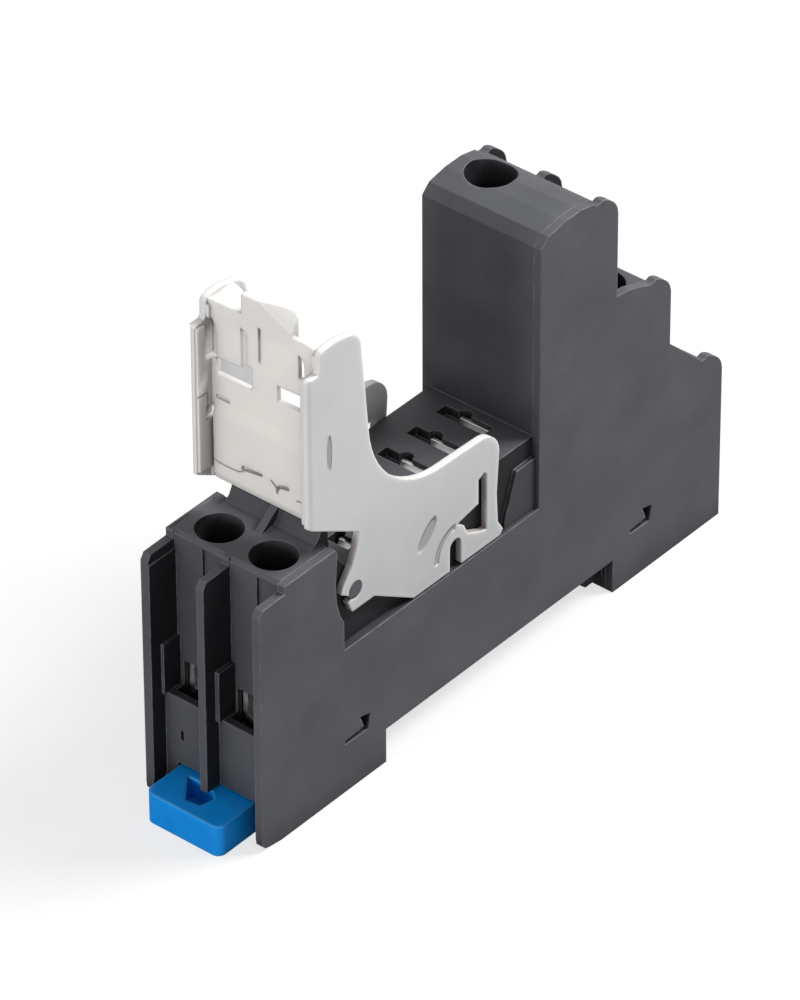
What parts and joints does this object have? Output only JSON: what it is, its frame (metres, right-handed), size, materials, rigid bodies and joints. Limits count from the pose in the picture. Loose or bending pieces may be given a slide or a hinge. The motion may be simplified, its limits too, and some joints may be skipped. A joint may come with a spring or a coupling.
{
  "type": "relay socket",
  "caption": "Slim screw-terminal socket for a plug-in relay, with a swinging holding and release clip and a sprung latch, for a 35 mm mounting rail",
  "frame": {"origin": "middle of the face that lies on the 35 mm rail, halfway between the two feet", "axes": "+X across the narrow width, +Y from the coil terminals to the contact tower, +Z away from the rail"},
  "size_m": [0.0164, 0.082, 0.0619],
  "materials": {
    "grey_polyamide": "dark grey moulded polyamide, fine matt grain",
    "grey_polyamide_cover": "dark grey moulded polyamide, satin side face",
    "clear_polymer": "milky translucent moulded polymer",
    "blue_polymer": "blue moulded polymer, satin",
    "spring_steel": "drawn spring wire",
    "contact_brass": "tinned brass sheet",
    "zinc_plated_steel": "zinc plated, folded sheet",
    "screw_steel": "zinc plated, driver marks in the recess"
  },
  "bodies": {
    "base": {"housing": "grey_polyamide", "side_cover": "grey_polyamide_cover", "latch_spring": "spring_steel", "coil_strip_left": "contact_brass", "coil_strip_right": "contact_brass", "contact_strip_upper": "contact_brass", "contact_strip_middle": "contact_brass", "contact_strip_lower": "contact_brass"},
    "clip": {"relay_clip": "clear_polymer"},
    "latch": {"rail_latch": "blue_polymer"},
    "coil_screw_left": {"coil_screw_left": "screw_steel"},
    "coil_clamp_left": {"coil_clamp_left": "zinc_plated_steel"},
    "coil_screw_right": {"coil_screw_right": "screw_steel"},
    "coil_clamp_right": {"coil_clamp_right": "zinc_plated_steel"},
    "screw_upper": {"screw_upper": "screw_steel"},
    "clamp_upper": {"clamp_upper": "zinc_plated_steel"},
    "screw_middle": {"screw_middle": "screw_steel"},
    "clamp_middle": {"clamp_middle": "zinc_plated_steel"},
    "screw_lower": {"screw_lower": "screw_steel"},
    "clamp_lower": {"clamp_lower": "zinc_plated_steel"}
  },
  "joints": [
    {"name": "clip_swing", "type": "hinge", "parent": "base", "child": "clip", "pos_m": [0, -0.0244, 0.0216], "axis": [1, 0, 0], "range_deg": [0, 20]},
    {"name": "latch_draw", "type": "slide", "parent": "base", "child": "latch", "axis": [0, -1, 0], "range_m": [0, 0.0032], "stiffness_N_per_m": 600, "springref_m": -0.001, "deforming": ["latch_spring"]},
    {"name": "coil_screw_left_turn", "type": "hinge", "parent": "base", "child": "coil_screw_left", "pos_m": [-0.00375, -0.0323, 0.0187], "axis": [0, 0, -1], "range_deg": [0, 2160]},
    {"name": "coil_clamp_left_rise", "type": "slide", "parent": "base", "child": "coil_clamp_left", "axis": [0, 0, 1], "range_m": [0, 0.003]},
    {"name": "coil_screw_right_turn", "type": "hinge", "parent": "base", "child": "coil_screw_right", "pos_m": [0.00375, -0.0323, 0.0187], "axis": [0, 0, -1], "range_deg": [0, 2160]},
    {"name": "coil_clamp_right_rise", "type": "slide", "parent": "base", "child": "coil_clamp_right", "axis": [0, 0, 1], "range_m": [0, 0.003]},
    {"name": "screw_upper_turn", "type": "hinge", "parent": "base", "child": "screw_upper", "pos_m": [-0.00375, 0.01255, 0.045], "axis": [0, 0, -1], "range_deg": [0, 2160]},
    {"name": "clamp_upper_rise", "type": "slide", "parent": "base", "child": "clamp_upper", "axis": [0, 0, 1], "range_m": [0, 0.003]},
    {"name": "screw_middle_turn", "type": "hinge", "parent": "base", "child": "screw_middle", "pos_m": [0.00375, 0.02235, 0.0296], "axis": [0, 0, -1], "range_deg": [0, 2160]},
    {"name": "clamp_middle_rise", "type": "slide", "parent": "base", "child": "clamp_middle", "axis": [0, 0, 1], "range_m": [0, 0.003]},
    {"name": "screw_lower_turn", "type": "hinge", "parent": "base", "child": "screw_lower", "pos_m": [-0.00375, 0.03185, 0.0142], "axis": [0, 0, -1], "range_deg": [0, 2160]},
    {"name": "clamp_lower_rise", "type": "slide", "parent": "base", "child": "clamp_lower", "axis": [0, 0, 1], "range_m": [0, 0.003]}
  ],
  "couplings": [
    {"joint": "coil_screw_left_turn", "follows": "coil_clamp_left_rise", "rad_per_m": 12566},
    {"joint": "coil_screw_right_turn", "follows": "coil_clamp_right_rise", "rad_per_m": 12566},
    {"joint": "screw_upper_turn", "follows": "clamp_upper_rise", "rad_per_m": 12566},
    {"joint": "screw_middle_turn", "follows": "clamp_middle_rise", "rad_per_m": 12566},
    {"joint": "screw_lower_turn", "follows": "clamp_lower_rise", "rad_per_m": 12566}
  ]
}
